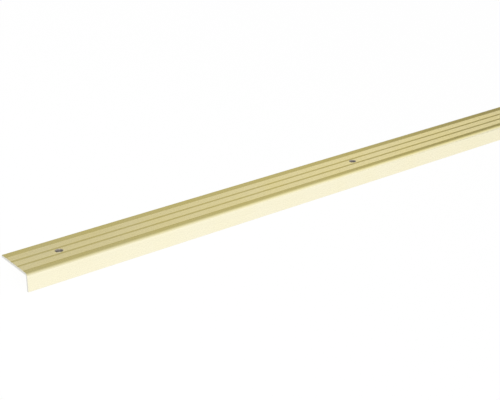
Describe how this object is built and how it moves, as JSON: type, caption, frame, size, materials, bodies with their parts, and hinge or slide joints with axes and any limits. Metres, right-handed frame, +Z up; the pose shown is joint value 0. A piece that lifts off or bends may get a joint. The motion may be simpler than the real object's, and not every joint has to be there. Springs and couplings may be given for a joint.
{
  "type": "stair nosing",
  "caption": "Straight metal angle with a ribbed tread leg, a rounded nose, a plain front leg and countersunk screw holes; it covers and protects the front edge of a step.",
  "frame": {"origin": "on the floor under the middle of the bar's box, as the bar lies unheld with its nose up", "axes": "+X along the bar, +Y from the front leg to the rear edge of the tread leg, +Z up"},
  "size_m": [1, 0.0436, 0.0143],
  "materials": {
    "nosing": "pale gold anodised, satin; bare metal at the cut ends and in the countersinks"
  },
  "bodies": {
    "root": {"nosing": "nosing"}
  },
  "joints": []
}
